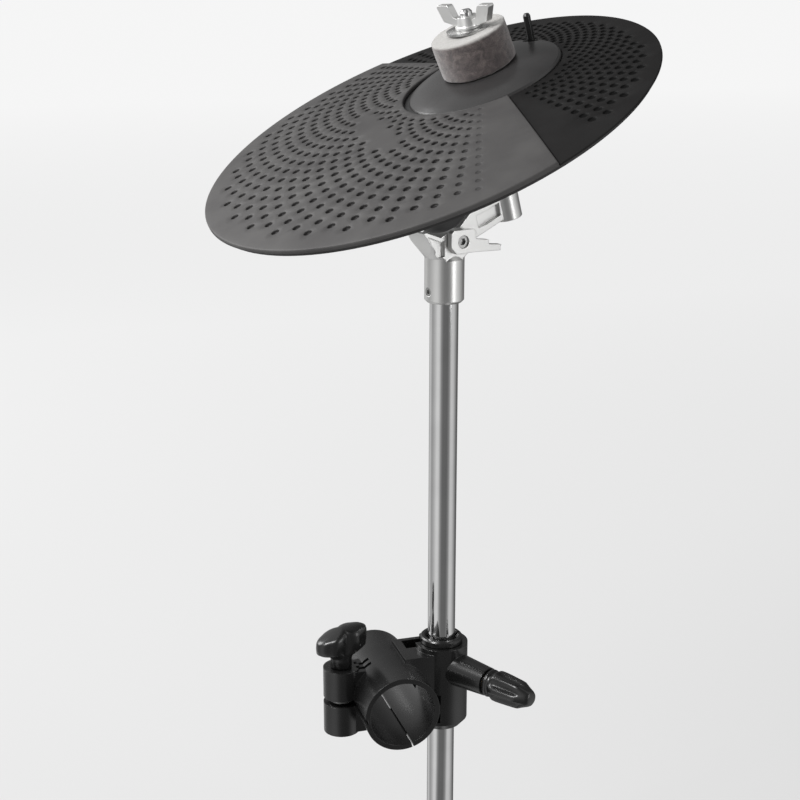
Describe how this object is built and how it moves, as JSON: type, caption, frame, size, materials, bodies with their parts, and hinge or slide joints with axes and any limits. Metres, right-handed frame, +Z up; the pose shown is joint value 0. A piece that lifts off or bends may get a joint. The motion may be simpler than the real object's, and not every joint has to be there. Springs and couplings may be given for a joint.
{
  "type": "electronic cymbal practice pad",
  "caption": "Round dimpled rubber cymbal practice pad with an off-centre bell, on a tilting arm, a chrome rod and a rack-tube clamp.",
  "frame": {"origin": "middle of the rack tube's bore in the clamp", "axes": "+Y along the rack tube's bore, +X from the tube to the vertical rod, +Z up the rod"},
  "size_m": [0.2332, 0.2523, 0.5461],
  "materials": {
    "clamp_plastic": "glossy moulded black",
    "chrome": "polished",
    "tilter_casting": "satin silver casting",
    "zinc_steel": "bright zinc plate",
    "wing_metal": "tumbled bright metal",
    "brass": "machined",
    "felt": "pressed dark grey felt",
    "pad_rubber": "matt dimpled rubber",
    "bell_plastic": "satin moulded",
    "housing_plastic": "fine texture black",
    "stopper_black": "black",
    "foam": "open cell foam",
    "board_green": "solder mask",
    "switch_film": "printed film"
  },
  "bodies": {
    "rack_clamp": {"clamp_body": "clamp_plastic", "jaw_hinge_pin": "zinc_steel", "pinch_washer": "zinc_steel", "rod_knob_insert": "brass"},
    "jaw": {"clamp_jaw": "clamp_plastic", "pinch_nut": "zinc_steel"},
    "tube_knob": {"pinch_knob": "clamp_plastic", "pinch_bolt": "zinc_steel"},
    "rod_lock": {"rod_knob": "clamp_plastic", "rod_clamp_bolt": "zinc_steel"},
    "bush": {"rod_bush": "clamp_plastic"},
    "rod": {"stand_rod": "chrome", "rod_end_cap": "pad_rubber", "tilter_base": "tilter_casting", "socket_set_screw": "zinc_steel", "pivot_bolt": "zinc_steel", "pivot_nut": "zinc_steel"},
    "lock_lever": {"tilt_lock_lever": "wing_metal"},
    "tilter": {"tilter_arm": "tilter_casting", "cymbal_rod": "zinc_steel", "holder_set_screw": "zinc_steel", "seat_washer": "zinc_steel", "felt_washer": "zinc_steel", "stopper_collar": "stopper_black", "stopper_set_screw": "zinc_steel", "stopper_pin": "stopper_black"},
    "cymbal_pad": {"bell_cap": "bell_plastic", "bell_grommet": "housing_plastic", "pad_base": "housing_plastic", "playing_skin": "pad_rubber", "rear_skin": "pad_rubber", "edge_switch": "switch_film", "rim_guard": "pad_rubber", "sensor_housing": "housing_plastic", "jack_socket": "housing_plastic", "jack_nut": "zinc_steel", "circuit_board": "board_green", "piezo_sensor": "brass", "sensor_foam": "foam", "housing_screws": "zinc_steel", "upper_felt": "felt", "lower_felt": "felt"},
    "top_nut": {"wing_nut": "wing_metal"}
  },
  "joints": [
    {"name": "jaw_open", "type": "hinge", "parent": "rack_clamp", "child": "jaw", "pos_m": [0.0132, 0, -0.0208], "axis": [0, -1, 0], "range_deg": [0, 4.5]},
    {"name": "tube_knob_spin", "type": "hinge", "parent": "rack_clamp", "child": "tube_knob", "pos_m": [-0.027, 0, 0.03], "axis": [0, 0, 1], "continuous": true},
    {"name": "rod_lock_spin", "type": "hinge", "parent": "rack_clamp", "child": "rod_lock", "pos_m": [0.059, -0.0433, 0.0115], "axis": [0.5, -0.866, 0], "continuous": true},
    {"name": "rod_turn", "type": "hinge", "parent": "rack_clamp", "child": "bush", "pos_m": [0.034, 0, 0], "axis": [0, 0, 1], "continuous": true},
    {"name": "rod_height", "type": "slide", "parent": "bush", "child": "rod", "axis": [0, 0, 1], "range_m": [-0.12, 0.1]},
    {"name": "tilter_tilt", "type": "hinge", "parent": "rod", "child": "tilter", "pos_m": [0.03687, 0.00087, 0.2646], "axis": [-0.289, 0.9573, 0], "range_deg": [-12, 20]},
    {"name": "lever_swing", "type": "hinge", "parent": "rod", "child": "lock_lever", "pos_m": [0.0402, -0.01014, 0.2646], "axis": [-0.289, 0.9573, 0], "range_deg": [-60, 40]},
    {"name": "pad_swing", "type": "hinge", "parent": "tilter", "child": "cymbal_pad", "pos_m": [0.05551, 0.00649, 0.35496], "axis": [-0.289, 0.9573, 0], "range_deg": [-1, 14], "stiffness_Nm_per_rad": 0.81, "springref_deg": 9.51, "deforming": ["upper_felt", "lower_felt"]},
    {"name": "top_nut_spin", "type": "hinge", "parent": "tilter", "child": "top_nut", "pos_m": [0.04627, 0.0037, 0.38267], "axis": [-0.2558, -0.0772, 0.9636], "continuous": true}
  ]
}
